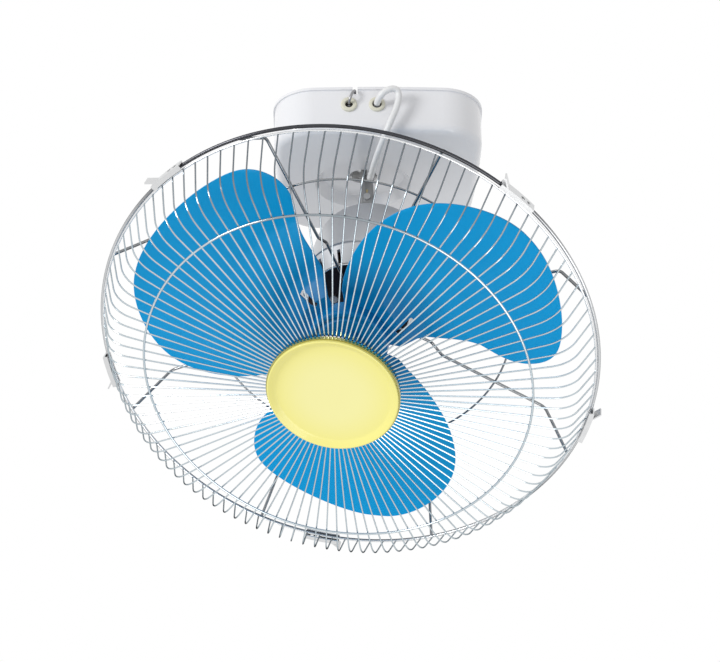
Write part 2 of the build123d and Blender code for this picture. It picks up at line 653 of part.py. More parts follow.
def motor_shaft():
    body = rod(SHAFT_RADIUS, SHAFT_NOSE, MOTOR_REAR + SHAFT_TAIL)
    return place_head(body - drive_pin_shape())


def rotor_core():
    foot = STATOR_FOOT - ROTOR_OVERHANG
    return place_head(tube(STATOR_BORE - ROTOR_AIR_GAP, SHAFT_RADIUS, foot, STATOR_TOP + ROTOR_OVERHANG))


def drive_pin_shape():
    """Cross pin that turns the hub, half sunk in the boss's rear face."""
    return Pos(0, 0, HUB_FRONT + HUB_BOSS_LENGTH) * along_x(Cylinder(DRIVE_PIN_RADIUS, DRIVE_PIN_LENGTH))


def blade_depth(radius, angle):
    """Z of the fully twisted blade at one radius and angle from its middle."""
    rise = BLADE_MID_DEPTH + BLADE_RISE_PER_RADIAN * math.radians(angle)
    cone = math.tan(math.radians(BLADE_CONE_ANGLE))
    return rise - cone * max(0, radius - BLADE_BEND_RADIUS)


def blade_strip(angle):
    """Section of the blade's slab in the half-plane at one angle from the blade's middle."""
    reach = BLADE_TIP_RADIUS + 2 * BLADE_THICKNESS
    line = [(HUB_RADIUS - HUB_WALL, BLADE_ROOT_DEPTH)]
    for share, twist in BLADE_TWIST:
        radius = BLADE_ROOT_RADIUS + share * (BLADE_TIP_RADIUS - BLADE_ROOT_RADIUS)
        line.append((radius, BLADE_ROOT_DEPTH + twist * (blade_depth(radius, angle) - BLADE_ROOT_DEPTH)))
    line.append((reach, blade_depth(reach, angle)))
    front = [(radius, depth - BLADE_THICKNESS / 2) for radius, depth in line]
    rear = [(radius, depth + BLADE_THICKNESS / 2) for radius, depth in reversed(line)]
    return Rot(0, 0, angle) * make_face(Plane.XZ * Polyline(*front, *rear, close=True))


def blade_outline():
    """Closed outline of one blade about +X, seen along the fan axis."""
    span = BLADE_TIP_RADIUS - BLADE_ROOT_RADIUS
    points = []
    for share, angle in TRAILING_EDGE + TIP_EDGE + LEADING_EDGE:
        radius = BLADE_ROOT_RADIUS + share * span
        turn = math.radians(angle)
        points.append((radius * math.cos(turn), radius * math.sin(turn)))
    edge = Spline(*points)
    inner = HUB_RADIUS - HUB_WALL / 2
    first = math.radians(TRAILING_EDGE[0][1])
    last = math.radians(LEADING_EDGE[-1][1])
    start = (inner * math.cos(first), inner * math.sin(first))
    end = (inner * math.cos(last), inner * math.sin(last))
    root = ThreePointArc(end, (inner, 0), start)
    return make_face([edge, Line(points[-1], end), root, Line(start, points[0])])


def fan_blades():
    reach = max(abs(angle) for share, angle in TRAILING_EDGE + LEADING_EDGE) + BLADE_STRIP_MARGIN_ANGLE
    pitch = 2 * reach / (BLADE_STRIP_COUNT - 1)
    slab = loft([blade_strip(i * pitch - reach) for i in range(BLADE_STRIP_COUNT)])
    slot = Pos(BLADE_SLOT_START + BLADE_SLOT_LENGTH / 2, BLADE_SLOT_SIDE)
    slot *= RectangleRounded(BLADE_SLOT_LENGTH, BLADE_SLOT_WIDTH, BLADE_THICKNESS / 2)
    one = slab & extrude(blade_outline() - slot, amount=BLADE_TIP_RADIUS, both=True)
    hub = rod(HUB_RADIUS, HUB_FRONT, HUB_REAR)
    hub = fillet(hub.edges().group_by(Axis.Z)[0], HUB_EDGE)
    hub -= rod(HUB_RADIUS - HUB_WALL, HUB_FRONT + HUB_WALL, HUB_REAR)
    hub += rod(HUB_BOSS_RADIUS, HUB_FRONT, HUB_FRONT + HUB_BOSS_LENGTH)
    rib_start = HUB_BOSS_RADIUS - HUB_WALL
    rib = Box(HUB_RADIUS - HUB_WALL / 2 - rib_start, HUB_RIB_THICKNESS, HUB_RIB_DEPTH, align=MIN_CORNER)
    rib = Pos(rib_start, -HUB_RIB_THICKNESS / 2, HUB_FRONT + HUB_WALL / 2) * rib
    for piece in around(rib, HUB_RIB_COUNT) + around(one, BLADE_COUNT, BLADE_PHASE_ANGLE):
        hub += piece
    hub -= rod(SHAFT_RADIUS, HUB_FRONT, HUB_FRONT + HUB_BOSS_LENGTH)
    return place_head(hub - drive_pin_shape())


def blade_spinner():
    cap = rod(SPINNER_RADIUS, HUB_FRONT - SPINNER_HEIGHT, HUB_FRONT)
    cap = fillet(cap.edges().group_by(Axis.Z)[0], SPINNER_EDGE)
    return place_head(cap - rod(SHAFT_RADIUS, SHAFT_NOSE, HUB_FRONT))


# Guard

def ring(radius, wire, centre):
    """A square-section ring about Z."""
    return place_head(tube(radius + wire / 2, radius - wire / 2, centre - wire / 2, centre + wire / 2))


def face_depth(radius):
    """Z of the front wires' centre line at one radius of the flat face."""
    return -FRONT_DEPTH - FACE_SLOPE * (FRONT_SHOULDER_RADIUS - radius)


def front_wires():
    start = (FRONT_WIRE_START, face_depth(FRONT_WIRE_START))
    shoulder = (FRONT_SHOULDER_RADIUS, -FRONT_DEPTH)
    end = (FRONT_RIM_RADIUS, RIM_FRONT - RING_WIRE / 2)
    wire = bent_bar([start, shoulder, end], FRONT_SHOULDER_BEND, FRONT_WIRE)
    waste = Box(4 * RING_WIRE, 4 * RING_WIRE, 2 * RING_WIRE)
    wire -= Pos(FRONT_RIM_RADIUS, 0, FRONT_RIM_FRONT + RING_WIRE) * waste
    return place_head(as_one(around(wire, FRONT_WIRE_COUNT)))


def front_inner_ring():
    front = face_depth(INNER_RING_OUTER) + FRONT_WIRE / 2
    return place_head(tube(INNER_RING_OUTER, INNER_RING_INNER, front, front + INNER_RING_THICKNESS))


def badge_cup():
    disc = rod(BADGE_RADIUS, BADGE_BACK - BADGE_WALL, BADGE_BACK)
    wall = tube(BADGE_RADIUS, BADGE_RADIUS - BADGE_WALL, BADGE_BACK - BADGE_EDGE, BADGE_BACK)
    boss_radius = INNER_RING_INNER - BADGE_GAP
    boss = tube(boss_radius, boss_radius - BADGE_WALL, BADGE_BACK, BADGE_BACK + BADGE_BOSS_REACH)
    return place_head(disc + wall + boss)


def badge():
    radius = BADGE_RADIUS - BADGE_WALL - BADGE_GAP
    back = BADGE_BACK - BADGE_WALL
    edge = back - BADGE_WALL
    crown = Polyline((0, edge - BADGE_DOME), (0, back), (radius, back), (radius, edge))
    bend = (radius ** 2 + BADGE_DOME ** 2) / (2 * BADGE_DOME)
    dome = RadiusArc((radius, edge), (0, edge - BADGE_DOME), bend)
    return place_head(revolve(make_face(Plane.XZ * (crown + dome)), Axis.Z))


def rear_arms():
    points = [
        (REAR_ARM_START, REAR_CENTRE_DEPTH),
        (REAR_STEP_INNER, REAR_CENTRE_DEPTH),
        (REAR_STEP_OUTER, REAR_DEPTH),
        (REAR_SHOULDER_RADIUS, REAR_DEPTH),
        (RIM_RADIUS, 0),
    ]
    arm = bent_bar(points, [REAR_STEP_BEND, REAR_STEP_BEND, REAR_SHOULDER_BEND], ARM_WIRE)
    waste = Box(6 * RIM_WIRE, 6 * RIM_WIRE, 4 * RIM_WIRE)
    arm -= Pos(RIM_RADIUS, 0, RIM_WIRE / 2 - 2 * RIM_WIRE) * waste
    return place_head(as_one(around(arm, REAR_ARM_COUNT, REAR_ARM_PHASE_ANGLE)))


def guard_plate():
    plate = tube(GUARD_PLATE_RADIUS, GUARD_PLATE_HOLE, GUARD_PLATE_FRONT, MOTOR_FRONT)
    hole = Pos(GUARD_SCREW_CIRCLE, 0, 0) * rod(GUARD_SCREW_RADIUS, GUARD_PLATE_FRONT, MOTOR_FRONT)
    for one in around(hole, GUARD_SCREW_COUNT, REAR_ARM_PHASE_ANGLE):
        plate -= one
    return place_head(plate)


def guard_screws():
    shank = GUARD_PLATE_THICKNESS + GUARD_SCREW_BITE
    one = screw(GUARD_SCREW_HEAD, GUARD_SCREW_HEIGHT, GUARD_SCREW_RADIUS, shank)
    one = Pos(GUARD_SCREW_CIRCLE, 0, GUARD_PLATE_FRONT) * Rot(180, 0, 0) * one
    return place_head(as_one(around(one, GUARD_SCREW_COUNT, REAR_ARM_PHASE_ANGLE)))


def rim_clip():
    """A spring clip over both rims: a channel bent along the rim, with a thumb tab at one end."""
    outer = RIM_RADIUS + RIM_WIRE / 2 + CLIP_CLEARANCE
    front = FRONT_RIM_FRONT - CLIP_CLEARANCE
    rear = RIM_WIRE / 2 + CLIP_CLEARANCE
    wall = make_face(Polyline(
        (outer - CLIP_LIP, front - CLIP_WALL), (outer + CLIP_WALL, front - CLIP_WALL),
        (outer + CLIP_WALL, rear + CLIP_WALL), (outer - CLIP_LIP, rear + CLIP_WALL),
        (outer - CLIP_LIP, rear), (outer, rear), (outer, front), (outer - CLIP_LIP, front), close=True,
    ))
    body = revolve(Plane.XZ * wall, Axis.Z, CLIP_SPAN_ANGLE)
    body = Rot(0, 0, -CLIP_SPAN_ANGLE / 2) * body
    hole = Pos(outer, 0, (front + rear) / 2) * along_x(Cylinder(CLIP_HOLE_RADIUS, 4 * CLIP_WALL))
    for turn in (CLIP_SPAN_ANGLE / 2 - CLIP_HOLE_ANGLE, CLIP_SPAN_ANGLE / 2 - 2 * CLIP_HOLE_ANGLE):
        body -= Rot(0, 0, turn) * hole
    tab = Pos(0, -CLIP_TAB_LENGTH / 2, 0) * Box(CLIP_WALL, CLIP_TAB_LENGTH, CLIP_TAB_WIDTH)
    tab = Pos(outer + CLIP_WALL / 2, 0, (front + rear) / 2) * Rot(0, 0, CLIP_TAB_ANGLE) * tab
    return body + Rot(0, 0, CLIP_HOLE_ANGLE - CLIP_SPAN_ANGLE / 2) * tab


def guard_clips():
    clip = rim_clip()
    return place_head(as_one([Rot(0, 0, angle) * clip for angle in CLIP_ANGLES]))


# Cords

def cord_tube(points, diameter):
    """A round cord along points, each bend as large as its two runs allow."""
    runs = [Vector(b) - Vector(a) for a, b in zip(points, points[1:])]
    radii = []
    for before, after in zip(runs, runs[1:]):
        half_turn = math.radians(before.get_angle(after)) / 2
        radii.append(0.45 * min(before.length, after.length) / math.tan(half_turn))
    path = FilletPolyline(*points, radius=radii)
    section = Plane(origin=path @ 0, z_dir=path % 0) * Circle(diameter / 2)
    body = sweep(section, path=path)
    print("cord length", round(path.length, 1), "radii", [round(r, 1) for r in radii])
    print("cord volume share", round(body.volume / (math.pi * diameter ** 2 / 4 * path.length), 4))
    return body


def loop_points(start, size, route):
    """The start and the points of a loop, given as shares of its size."""
    x, y, z = start
    return [start] + [(x + size * a, y + size * b, z + size * c) for a, b, c in route]


def supply_cord():
    start = (CORD_GROMMET_X, grommet_seat(CORD_GROMMET_X) - GROMMET_FLANGE, -GROMMET_DROP)
    points = loop_points(start, CORD_LOOP, CORD_LOOP_ROUTE)
    bend_z = -CORD_CLAMP_DROP - CORD_LAST_RUN
    from_x, from_y, from_z = points[-1]
    for across, along, drop in CORD_RUN_ROUTE:
        x = from_x + across * (CORD_END_X - from_x)
        y = from_y + along * (CORD_END_Y - from_y)
        points.append((x, y, bend_z - drop * CORD_LOOP))
    points.append((CORD_END_X, CORD_END_Y, bend_z))
    points.append((CORD_END_X, CORD_END_Y, -CORD_CLAMP_DROP))
    return cord_tube(points, CORD_DIAMETER)


def safety_wire():
    start = (WIRE_GROMMET_X, grommet_seat(WIRE_GROMMET_X) - GROMMET_FLANGE, -GROMMET_DROP)
    points = loop_points(start, SAFETY_LOOP, SAFETY_LOOP_ROUTE)
    line_z = -BRACKET_PLATE - FERRULE_RADIUS
    points.append((SAFETY_LINE_X, start[1] - SAFETY_LOOP / 3, line_z - SAFETY_RISE))
    points.append((SAFETY_LINE_X, start[1] + SAFETY_LOOP, line_z))
    points.append((SAFETY_LINE_X, FERRULE_Y - FERRULE_LENGTH, line_z))
    return cord_tube(points, SAFETY_WIRE_DIAMETER)


def safety_wire_ferrule():
    body = along_y(Cylinder(FERRULE_RADIUS, FERRULE_LENGTH))
    drop = BRACKET_PLATE + FERRULE_RADIUS
    return Pos(SAFETY_LINE_X, FERRULE_Y - FERRULE_LENGTH / 2, -drop) * body


PARTS = {
    "mounting_bracket": mounting_bracket,
    "base_housing": base_housing,
    "housing_screws": housing_screws,
    "wire_grommet": lambda: grommet(WIRE_GROMMET_X, SAFETY_WIRE_DIAMETER / 2),
    "cord_grommet": lambda: grommet(CORD_GROMMET_X, CORD_DIAMETER / 2),
    "terminal_block": terminal_block,
    "capacitor": capacitor,
    "cord_clamp": cord_clamp,
    "hanger_pin": hanger_pin,
    "hanger_nut": hanger_nut,
    "hanger_arm": hanger_arm,
    "arm_bolt": arm_bolt,
    "swivel_yoke": swivel_yoke,
    "swivel_block": swivel_block,
    "swivel_long_pin": swivel_long_pin,
    "swivel_short_pins": swivel_short_pins,
    "head_fork": head_fork,
    "gear_case": gear_case,
    "motor_rear_cover": motor_rear_cover,
    "motor_shell": motor_shell,
    "motor_front_cover": motor_front_cover,
    "motor_tie_screws": motor_tie_screws,
    "stator_core": stator_core,
    "stator_winding": stator_winding,
    "rear_bearing": lambda: bearing(MOTOR_REAR - MOTOR_WALL - BEARING_WIDTH),
    "front_bearing": lambda: bearing(MOTOR_FRONT + MOTOR_WALL),
    "motor_shaft": motor_shaft,
    "rotor_core": rotor_core,
    "fan_blades": fan_blades,
    "blade_spinner": blade_spinner,
    "drive_pin": lambda: place_head(drive_pin_shape()),
    "guard_plate": guard_plate,
    "guard_screws": guard_screws,
    "rear_guard_arms": rear_arms,
    "rear_guard_ring": lambda: ring(REAR_RING_RADIUS, RING_WIRE, REAR_DEPTH - ARM_WIRE / 2 - RING_WIRE / 2),
    "rear_guard_rim": lambda: ring(RIM_RADIUS, RIM_WIRE, 0),
    "front_guard_rim": lambda: ring(FRONT_RIM_RADIUS, RING_WIRE, RIM_FRONT - RING_WIRE / 2),
    "front_guard_ring": lambda: ring(
        FRONT_RING_RADIUS, RING_WIRE, face_depth(FRONT_RING_RADIUS) - FRONT_WIRE / 2 - RING_WIRE / 2
    ),
    "front_guard_inner_ring": front_inner_ring,
    "front_guard_wires": front_wires,
    "badge_cup": badge_cup,
    "badge": badge,
    "guard_clips": guard_clips,
    "supply_cord": supply_cord,
    "safety_wire": safety_wire,
    "safety_wire_ferrule": safety_wire_ferrule,
}

os.makedirs("parts", exist_ok=True)
for name, make in PARTS.items():
    export_step(make(), f"parts/{name}.step")
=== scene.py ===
"""Ceiling orbit fan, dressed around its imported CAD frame. Sizes are in millimetres unless said."""
import math

import bmesh
import bpy
import numpy as np
from mathutils import Matrix, Vector


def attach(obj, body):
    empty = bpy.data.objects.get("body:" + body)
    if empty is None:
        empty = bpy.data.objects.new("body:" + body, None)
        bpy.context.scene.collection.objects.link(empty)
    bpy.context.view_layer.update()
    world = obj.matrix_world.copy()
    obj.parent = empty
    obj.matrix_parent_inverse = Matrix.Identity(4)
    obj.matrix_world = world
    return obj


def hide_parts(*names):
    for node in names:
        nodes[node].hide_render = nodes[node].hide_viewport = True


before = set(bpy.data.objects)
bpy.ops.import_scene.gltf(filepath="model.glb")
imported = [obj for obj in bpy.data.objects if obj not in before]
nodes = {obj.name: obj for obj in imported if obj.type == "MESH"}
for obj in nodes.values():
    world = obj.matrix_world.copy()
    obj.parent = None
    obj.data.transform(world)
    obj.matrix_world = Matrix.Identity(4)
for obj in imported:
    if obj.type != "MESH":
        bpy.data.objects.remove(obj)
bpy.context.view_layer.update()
scene = bpy.context.scene

MM = 0.001

# Frames: the pivot below the ceiling, and the head frame on the fan axis

PIVOT_DROP = 94.0
TILT_FORWARD = math.radians(34.06)
TILT_SIDE = math.radians(9.28)
PIVOT_OFFSET = 18.5
PIVOT_HEIGHT = 249.0
ROW = Matrix.Scale(MM, 4)
HEAD = (
    ROW
    @ Matrix.Translation((0, 0, -PIVOT_DROP))
    @ Matrix.Rotation(-TILT_FORWARD, 4, "X")
    @ Matrix.Rotation(TILT_SIDE, 4, "Y")
    @ Matrix.Translation((PIVOT_OFFSET, 0, -PIVOT_HEIGHT))
)

# Camera, measured from the photograph

CAMERA_AT = (-7.5, -1150.5, -673.3)
CAMERA_PITCH = 21.5
camera_data = bpy.data.cameras.new("camera")
camera_data.lens = 59.9
camera_data.sensor_width = 36.0
camera_data.sensor_fit = "HORIZONTAL"
camera = bpy.data.objects.new("camera", camera_data)
camera.location = Vector(CAMERA_AT) * MM
camera.rotation_euler = (math.radians(90 + CAMERA_PITCH), 0, 0)
scene.collection.objects.link(camera)
scene.camera = camera


# Materials

MOTTLE_SCALE = 1 / 20
GLOSS_SCALE = 1 / 6
GLOSS_FLOOR = 0.02
RELIEF_DEPTH = 0.0004


def material(name, colour, metallic=0.0, roughness=0.4, grain=400.0, bump=0.02, mottle=0.05,
             rough_spread=0.08, coat=0.0, specular=0.5, edge=1.0):
    """A shader with fine surface relief, a faint change of colour and an uneven gloss."""
    mat = bpy.data.materials.new(name)
    mat.use_nodes = True
    tree = mat.node_tree
    shader = tree.nodes["Principled BSDF"]
    shader.inputs["Metallic"].default_value = metallic
    shader.inputs["Coat Weight"].default_value = coat
    shader.inputs["Specular IOR Level"].default_value = specular
    shader.inputs["Specular Tint"].default_value = (edge, edge, edge, 1)
    where = tree.nodes.new("ShaderNodeTexCoord").outputs["Object"]

    def noise_at(scale, detail=3.0):
        node = tree.nodes.new("ShaderNodeTexNoise")
        node.inputs["Scale"].default_value = scale
        node.inputs["Detail"].default_value = detail
        tree.links.new(where, node.inputs["Vector"])
        return node.outputs["Fac"]

    mix = tree.nodes.new("ShaderNodeMix")
    mix.data_type = "RGBA"
    dark = [c * (1 - mottle) for c in colour[:3]] + [1.0]
    light = [min(1.0, c * (1 + mottle)) for c in colour[:3]] + [1.0]
    mix.inputs["A"].default_value = dark
    mix.inputs["B"].default_value = light
    tree.links.new(noise_at(grain * MOTTLE_SCALE), mix.inputs["Factor"])
    tree.links.new(mix.outputs["Result"], shader.inputs["Base Color"])

    spread = tree.nodes.new("ShaderNodeMapRange")
    spread.inputs["To Min"].default_value = max(GLOSS_FLOOR, roughness - rough_spread)
    spread.inputs["To Max"].default_value = roughness + rough_spread
    tree.links.new(noise_at(grain * GLOSS_SCALE), spread.inputs["Value"])
    tree.links.new(spread.outputs["Result"], shader.inputs["Roughness"])

    relief = tree.nodes.new("ShaderNodeBump")
    relief.inputs["Strength"].default_value = bump
    relief.inputs["Distance"].default_value = RELIEF_DEPTH
    tree.links.new(noise_at(grain, 5.0), relief.inputs["Height"])
    tree.links.new(relief.outputs["Normal"], shader.inputs["Normal"])
    return mat


def vector_math(tree, operation, first, second=(0.0, 0.0, 0.0)):
    """A vector node that takes a socket and a constant."""
    node = tree.nodes.new("ShaderNodeVectorMath")
    node.operation = operation
    node.inputs[1].default_value = second
    tree.links.new(first, node.inputs[0])
    return node


def tinted(mat, place, low, high, low_tint, high_tint):
    """Multiplies the colour by a tint that runs smoothly from one place to another."""
    tree = mat.node_tree
    shader = tree.nodes["Principled BSDF"]
    share = tree.nodes.new("ShaderNodeMapRange")
    share.interpolation_type = "SMOOTHSTEP"
    share.inputs["From Min"].default_value = low
    share.inputs["From Max"].default_value = high
    tint = tree.nodes.new("ShaderNodeMix")
    tint.data_type = "RGBA"
    tint.inputs["A"].default_value = (*low_tint, 1)
    tint.inputs["B"].default_value = (*high_tint, 1)
    product = tree.nodes.new("ShaderNodeMix")
    product.data_type = "RGBA"
    product.blend_type = "MULTIPLY"
    product.inputs["Factor"].default_value = 1.0
    tree.links.new(place, share.inputs["Value"])
    tree.links.new(share.outputs["Result"], tint.inputs["Factor"])
    tree.links.new(shader.inputs["Base Color"].links[0].from_socket, product.inputs["A"])
    tree.links.new(tint.outputs["Result"], product.inputs["B"])
    tree.links.new(product.outputs["Result"], shader.inputs["Base Color"])
    return mat


def tint_by_radius(mat, inner, outer, inner_tint, outer_tint):
    """A tint that runs outwards from the fan axis."""
    tree = mat.node_tree
    where = tree.nodes.new("ShaderNodeTexCoord").outputs["Object"]
    axis = HEAD.col[2].xyz.normalized()
    offset = vector_math(tree, "SUBTRACT", where, HEAD.translation)
    across = vector_math(tree, "CROSS_PRODUCT", offset.outputs["Vector"], axis)
    radius = vector_math(tree, "LENGTH", across.outputs["Vector"])
    return tinted(mat, radius.outputs["Value"], inner * MM, outer * MM, inner_tint, outer_tint)


def tint_by_height(mat, top, foot, top_tint, foot_tint):
    """A tint that runs down the guard, along the head frame's Y."""
    tree = mat.node_tree
    where = tree.nodes.new("ShaderNodeTexCoord").outputs["Object"]
    down = HEAD.col[1].xyz.normalized()
    level = HEAD.translation.dot(down)
    height = vector_math(tree, "DOT_PRODUCT", where, down).outputs["Value"]
    return tinted(mat, height, level + top * MM, level + foot * MM, top_tint, foot_tint)


WHITE = (1.0, 1.0, 1.0)
white_gloss = material(
    "white_gloss", (0.82, 0.82, 0.84), 0.0, 0.24, 260, 0.05, 0.015, 0.05, coat=0.4
)
chrome = material("bright_wire", (0.56, 0.63, 0.67), 1.0, 0.16, 900, 0.06, 0.06, 0.06, edge=0.0)
# Painted light: a paler copy of the guard chrome, for the front rim, inner ring and plate edge.
lit_copy_chrome = material("front_rim_wire", (0.76, 0.77, 0.78), 1.0, 0.18, 900, 0.06, 0.05, 0.06)
# Painted shade: a darker copy of the guard chrome, for the rear guard's ring and arms.
shaded_rear_chrome = material("rear_wire", (0.27, 0.28, 0.29), 1.0, 0.2, 900, 0.06, 0.08, 0.07, edge=0.2)
rim_chrome_painted_reflection = material("rim_wire", (0.58, 0.59, 0.60), 1.0, 0.2, 900, 0.06, 0.08, 0.07, edge=0.2)
# Painted shade: the blades' colour darkens towards the hub, where the badge and spinner shade the
# roots.
blade_blue = tint_by_radius(
    material("blade_blue", (0.0, 0.30, 0.64), 0.0, 0.36, 500, 0.05, 0.04, 0.06, specular=0.16),
    45, 105, (0.5, 0.52, 0.6), WHITE,
)
spinner_blue = material(
    "spinner_blue", (0.0, 0.13, 0.33), 0.0, 0.34, 500, 0.05, 0.05, 0.06, specular=0.22
)
# Painted shade: the badge's colour turns darker and yellower towards its rim, deepening the dish's
# shading.
badge_yellow = tint_by_radius(
    material("badge_yellow", (0.80, 0.76, 0.33), 0.0, 0.3, 120, 0.04, 0.02, 0.06, coat=0.15),
    20, 62, WHITE, (0.97, 0.95, 0.66),
)
badge_rim = material("badge_rim", (0.45, 0.42, 0.16), 1.0, 0.25, 500, 0.05, 0.08, 0.08)
motor_grey = material("motor_grey", (0.50, 0.51, 0.53), 0.75, 0.33, 700, 0.08, 0.05, 0.08)
cast_grey = material("cast_grey", (0.34, 0.345, 0.35), 0.7, 0.42, 600, 0.25, 0.12, 0.1)
yellow_zinc = material("yellow_zinc", (0.62, 0.52, 0.26), 0.9, 0.34, 500, 0.12, 0.18, 0.1)
steel = material("steel", (0.55, 0.55, 0.55), 1.0, 0.3, 700, 0.1, 0.08, 0.1)
black_paint = material("black_paint", (0.012, 0.012, 0.014), 0.0, 0.4, 600, 0.1, 0.1, 0.1)
# Painted shade: near-black rings that fill the grommets' bores round their lines.
throat_painted_shade = material(
    "throat_painted_shade", (0.012, 0.011, 0.010), 0.0, 0.6, 600, 0.1, 0.1, 0.1, specular=0.2
)
# Painted shade: the guard plate is near black, standing in for the plate in shade between hub and
# motor.
plate_painted_shade = material("plate_painted_shade", (0.05, 0.035, 0.035), 0.6, 0.3, 500, 0.08, 0.1, 0.08)
cream_rubber = material("cream_rubber", (0.72, 0.70, 0.58), 0.0, 0.6, 500, 0.12, 0.05, 0.08)
flex_white = material("flex_white", (0.80, 0.80, 0.80), 0.0, 0.42, 600, 0.1, 0.03, 0.06)
strand_steel = material("strand_steel", (0.30, 0.30, 0.31), 1.0, 0.35, 1500, 0.3, 0.2, 0.1)
zinc = material("zinc_plate", (0.55, 0.56, 0.57), 0.9, 0.35, 400, 0.1, 0.12, 0.1)
copper = material("copper", (0.55, 0.22, 0.08), 0.9, 0.4, 900, 0.3, 0.2, 0.1)
core = material("core_steel", (0.30, 0.30, 0.31), 0.9, 0.45, 900, 0.2, 0.12, 0.1)
nylon = material("nylon", (0.72, 0.72, 0.70), 0.0, 0.5, 500, 0.08, 0.03, 0.06)
case_grey = material("case_grey", (0.30, 0.31, 0.33), 0.0, 0.5, 500, 0.08, 0.05, 0.06)
clip_plate = material("clip_plate", (0.66, 0.665, 0.67), 0.9, 0.3, 600, 0.08, 0.06, 0.08)
# Painted reflection: the front wires are darkened towards the top of the guard.
tint_by_height(chrome, -200, -120, (0.36, 0.36, 0.37), WHITE)
# Painted reflection: the rear rim is darkened at the top of the guard and, less, towards its foot.
tint_by_height(rim_chrome_painted_reflection, -195, -100, (0.11, 0.11, 0.12), WHITE)
tint_by_height(rim_chrome_painted_reflection, 50, 170, WHITE, (0.35, 0.36, 0.38))

CARRIED = {
    "mounting_bracket": zinc, "base_housing": white_gloss, "housing_screws": steel,
    "terminal_block": nylon, "capacitor": case_grey, "cord_clamp": nylon, "hanger_pin": zinc,
    "hanger_nut": zinc, "hanger_arm": cast_grey, "arm_bolt": zinc, "swivel_yoke": yellow_zinc,
    "swivel_block": yellow_zinc, "swivel_long_pin": steel, "swivel_short_pins": steel,
    "head_fork": black_paint, "gear_case": motor_grey, "motor_rear_cover": motor_grey,
    "motor_shell": motor_grey, "motor_front_cover": motor_grey, "motor_tie_screws": steel,
    "stator_core": core, "stator_winding": copper, "rear_bearing": steel, "front_bearing": steel,
    "motor_shaft": steel, "rotor_core": core, "blade_spinner": spinner_blue, "drive_pin": steel,
    "guard_plate": plate_painted_shade, "guard_screws": steel, "front_guard_inner_ring": lit_copy_chrome,
    "badge_cup": badge_rim, "guard_clips": clip_plate, "safety_wire_ferrule": zinc,
}
for node, look in CARRIED.items():
    obj = nodes[node]
    obj.data.materials.clear()
    obj.data.materials.append(look)


# Cords: the routes of the CAD tubes, as control points

def cord(name, node, route, diameter, look):
    """A round cord on the fixed body, from its grommet to its other end."""
    curve = bpy.data.curves.new(name, "CURVE")
    curve.dimensions = "3D"
    curve.bevel_depth = diameter / 2 * MM
    curve.bevel_resolution = 6
    curve.use_fill_caps = True
    curve.resolution_u = 24
    spline = curve.splines.new("NURBS")
    spline.points.add(len(route) - 1)
    for point, at in zip(spline.points, route):
        point.co = (at[0] * MM, at[1] * MM, at[2] * MM, 1.0)
    spline.order_u = 3
    spline.use_endpoint_u = True
    curve.materials.append(look)
    obj = bpy.data.objects.new(name, curve)
    scene.collection.objects.link(obj)
    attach(obj, "mount")
    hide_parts(node)


cord(
    "supply_cord_line", "supply_cord",
    [(9.6, -115.5, -20), (10.9, -124.5, -19.1), (19, -129.6, -13.1), (28, -128.5, -10.6),
     (32, -125.6, -16), (29.1, -123.6, -30.1), (21.9, -121.6, -46.9), (15, -109.4, -60.1),
     (8, -80.3, -65.1), (5, -52.1, -63.1), (3.2, -26.9, -57), (3, -13.8, -48.5), (3, -8.8, -42),
     (3, -8.8, -33)],
    6.6, flex_white,
)
cord(
    "safety_wire_line", "safety_wire",
    [(-18.6, -115.3, -20), (-18, -120.3, -18.5), (-15.2, -121.3, -11), (-12.5, -117.3, -5.5),
     (-12.5, -109.3, -4.7), (-12.5, -102, -4.7)],
    2.8, strand_steel,
)


# Mesh building

SHARP_ANGLE = math.radians(32)


class Shape:
    """Vertices and faces gathered in millimetres, in the row frame or the head frame."""

    def __init__(self):
        self.verts = []
        self.faces = []

    def add(self, verts, faces):
        base = len(self.verts)
        self.verts.extend(tuple(v) for v in verts)
        self.faces.extend(tuple(base + i for i in f) for f in faces)
        return self

    def grid(self, rows, wrap_rows=False, wrap_columns=False):
        """Quads over rows of points that all have the same length."""
        count = len(rows)
        width = len(rows[0])
        faces = []
        for i in range(count if wrap_rows else count - 1):
            for j in range(width if wrap_columns else width - 1):
                a, b = i, (i + 1) % count
                c, d = j, (j + 1) % width
                faces.append((a * width + c, a * width + d, b * width + d, b * width + c))
        return self.add([p for row in rows for p in row], faces)

    def copies(self, count, phase=0.0):
        """Repeats what is gathered so far about Z."""
        verts, faces = self.verts, self.faces
        self.verts, self.faces = [], []
        for i in range(count):
            turn = Matrix.Rotation(math.radians(phase) + 2 * math.pi * i / count, 3, "Z")
            self.add([turn @ Vector(v) for v in verts], faces)
        return self

    def mesh(self, name, matrix):
        """A mesh in metres in the row frame, with its faces turned outwards."""
        mesh = bpy.data.meshes.new(name)
        mesh.from_pydata([matrix @ Vector(v) for v in self.verts], [], self.faces)
        bm = bmesh.new()
        bm.from_mesh(mesh)
        bmesh.ops.recalc_face_normals(bm, faces=bm.faces)
        bm.to_mesh(mesh)
        bm.free()
        return mesh

    def make(self, name, look, body, matrix, replaced=(), slot=None):
        add_piece(name, self.mesh(name, matrix), look, body, replaced)


def add_piece(name, mesh, look, body, replaced=()):
    """An object on a body, with its sharp corners kept, in place of the nodes it replaces."""
    obj = bpy.data.objects.new(name, mesh)
    scene.collection.objects.link(obj)
    mesh.materials.clear()
    mesh.materials.append(look)
    mesh.shade_smooth()
    mesh.set_sharp_from_angle(angle=SHARP_ANGLE)
    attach(obj, body)
    if replaced:
        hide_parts(*replaced)


def lathe(profile, steps=96, capped=False):
    """Turns a profile of (radius, z) about Z: a closed one, or one whose ends get flat caps."""
    rows = []
    for i in range(steps):
        a = 2 * math.pi * i / steps
        rows.append([(r * math.cos(a), r * math.sin(a), z) for r, z in profile])
    shape = Shape().grid(rows, wrap_rows=True, wrap_columns=not capped)
    if capped:
        width = len(profile)
        for end in (0, width - 1):
            shape.faces.append(tuple(i * width + end for i in range(steps)))
    return shape


